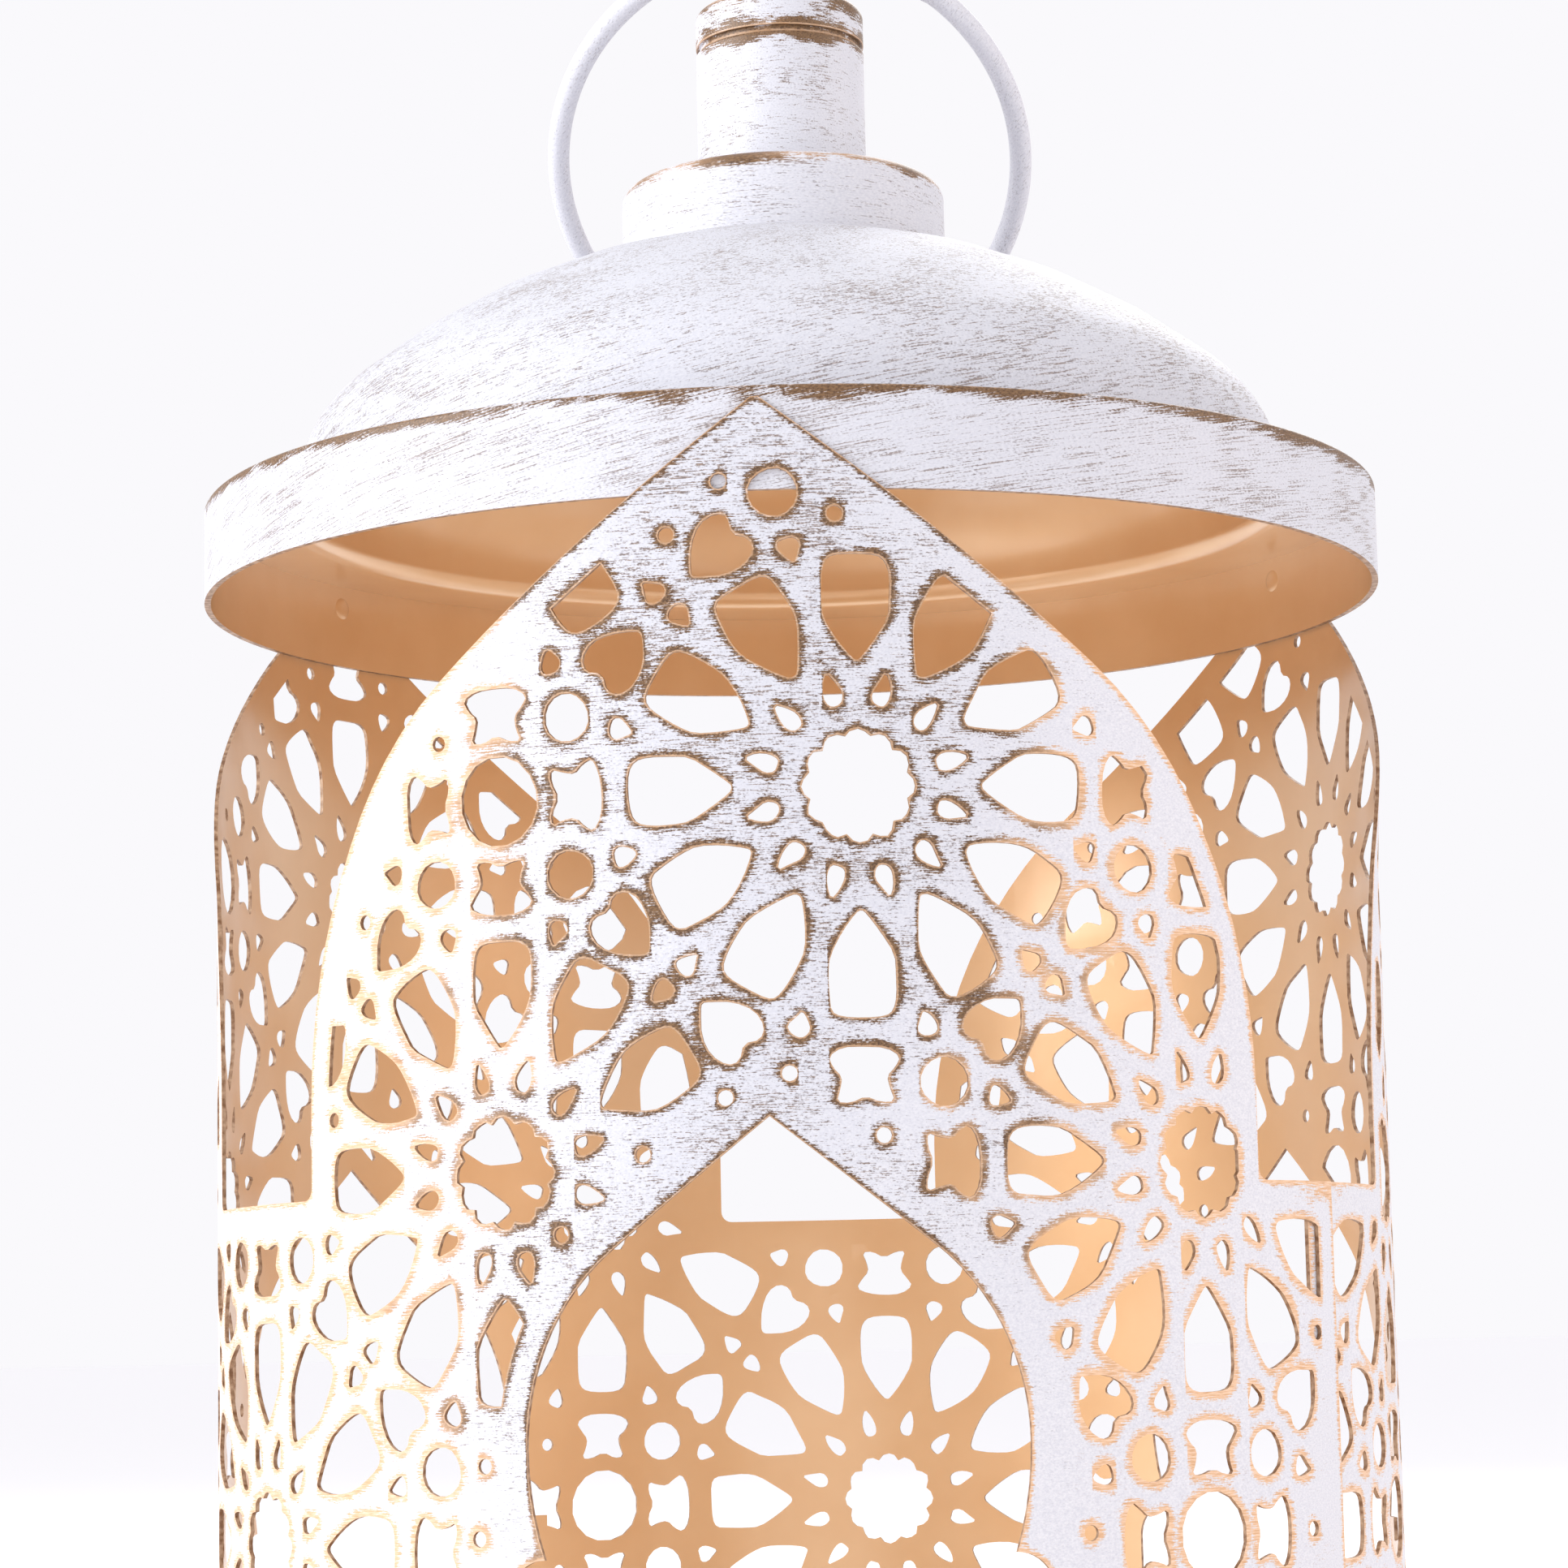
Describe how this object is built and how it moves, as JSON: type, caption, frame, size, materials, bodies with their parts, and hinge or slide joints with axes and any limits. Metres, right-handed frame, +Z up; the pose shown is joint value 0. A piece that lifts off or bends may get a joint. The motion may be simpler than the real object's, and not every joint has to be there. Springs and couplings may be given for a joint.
{
  "type": "hanging lantern",
  "caption": "Round pierced sheet-steel candle lantern with pointed arches, horseshoe doorways, a domed cap and a swinging hanging ring.",
  "frame": {"origin": "middle of the underside, in the plane that the lantern stands on", "axes": "+Z up along the lantern's axis, front doorway towards -Y, +X to the right of someone facing that doorway"},
  "size_m": [0.1542, 0.1542, 0.2819],
  "materials": {
    "antique_white": "satin",
    "gold_lacquer": "satin",
    "plated_steel": "satin"
  },
  "bodies": {
    "lantern": {"body_shell": "antique_white", "cap": "antique_white", "collar": "antique_white", "stem_tube": "antique_white", "stem_cap": "antique_white", "knob": "antique_white", "base_pan": "antique_white", "candle_plate": "gold_lacquer", "candle_pin": "gold_lacquer", "tie_rod": "plated_steel", "rod_washer": "plated_steel", "rod_nut": "plated_steel"},
    "ring": {"hanging_ring": "antique_white"}
  },
  "joints": [
    {"name": "ring_swing", "type": "hinge", "parent": "lantern", "child": "ring", "pos_m": [0, 0, 0.2744], "axis": [1, 0, 0], "range_deg": [0, 280.3]}
  ]
}
